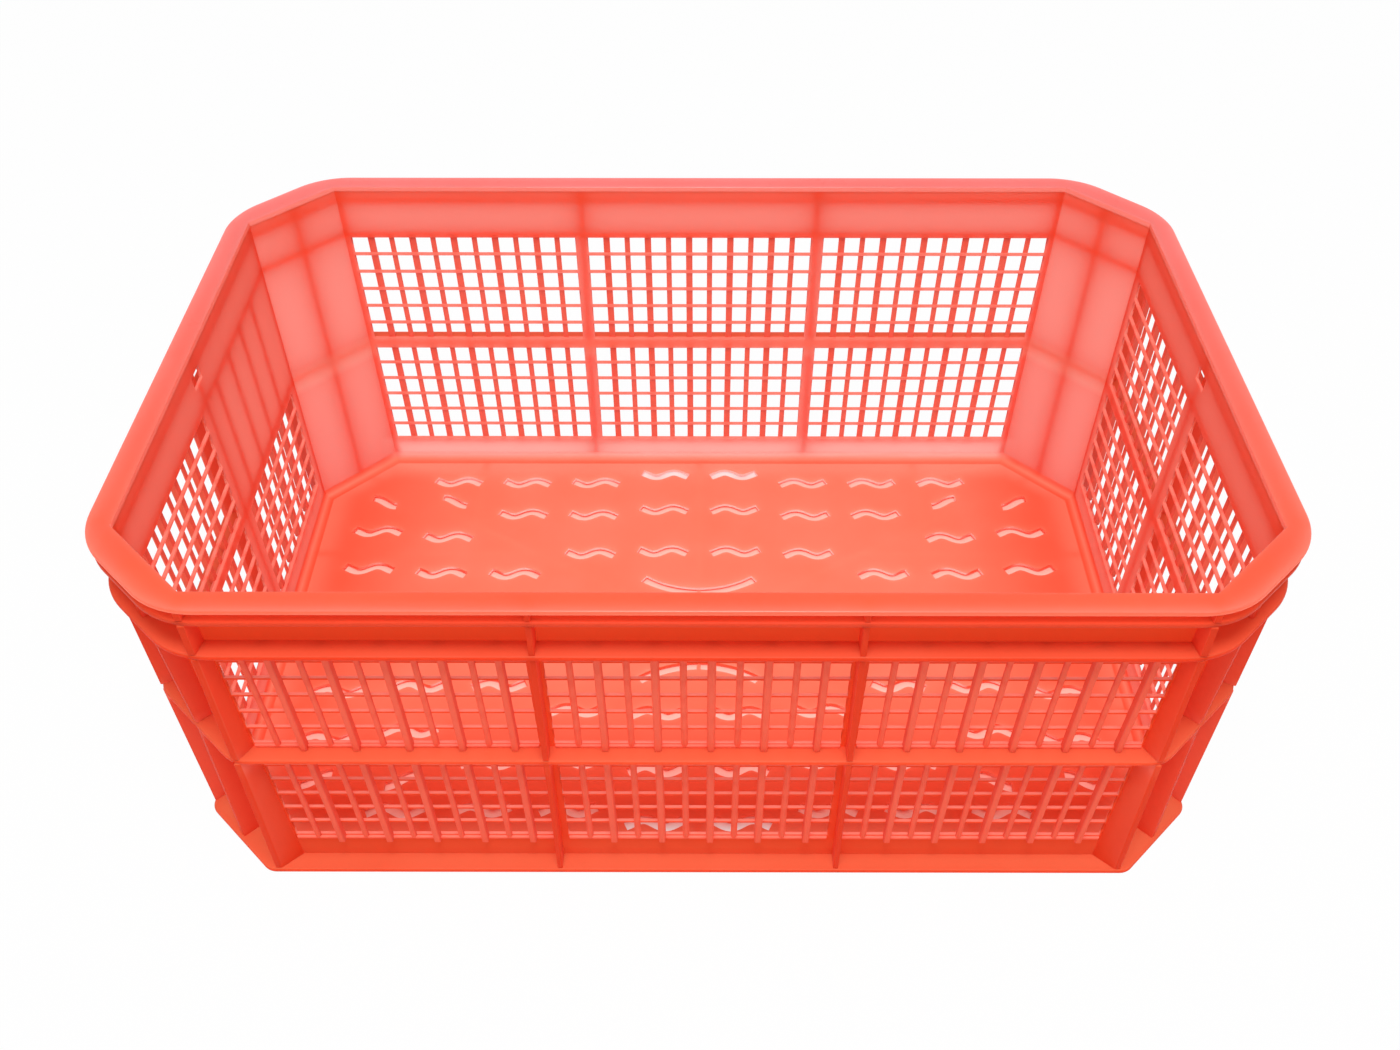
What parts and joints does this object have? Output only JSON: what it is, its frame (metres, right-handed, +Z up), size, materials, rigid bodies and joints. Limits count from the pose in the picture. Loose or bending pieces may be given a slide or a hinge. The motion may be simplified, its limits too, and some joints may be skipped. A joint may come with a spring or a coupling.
{
  "type": "ventilated plastic crate",
  "caption": "Open-top ventilated crate in translucent coral-red plastic, with cut-off corners, a flat stacking rim, ribbed lattice walls and a slotted floor.",
  "frame": {"origin": "centre of the crate's plan, on the underside of the base hoop", "axes": "+X along the length, +Y across the width towards the back wall, +Z up out of the open top"},
  "size_m": [0.6, 0.4, 0.228],
  "materials": {
    "rim_plastic": "satin",
    "rib_plastic": "satin",
    "wall_plastic": "satin",
    "lattice_plastic": "satin",
    "floor_plastic": "satin"
  },
  "bodies": {
    "root": {"rim_flange": "rim_plastic", "rim_skirt": "rim_plastic", "band_hoop": "rib_plastic", "waist_hoop": "rib_plastic", "base_hoop": "rib_plastic", "floor_panel": "floor_plastic", "floor_cove": "floor_plastic", "floor_ribs": "floor_plastic", "front_wall": "wall_plastic", "front_lattice": "lattice_plastic", "front_ribs": "rib_plastic", "right_wall": "wall_plastic", "right_lattice": "lattice_plastic", "right_ribs": "rib_plastic", "back_wall": "wall_plastic", "back_lattice": "lattice_plastic", "back_ribs": "rib_plastic", "left_wall": "wall_plastic", "left_lattice": "lattice_plastic", "left_ribs": "rib_plastic", "front_right_corner": "wall_plastic", "front_right_corner_ribs": "rib_plastic", "back_right_corner": "wall_plastic", "back_right_corner_ribs": "rib_plastic", "back_left_corner": "wall_plastic", "back_left_corner_ribs": "rib_plastic", "front_left_corner": "wall_plastic", "front_left_corner_ribs": "rib_plastic"}
  },
  "joints": []
}
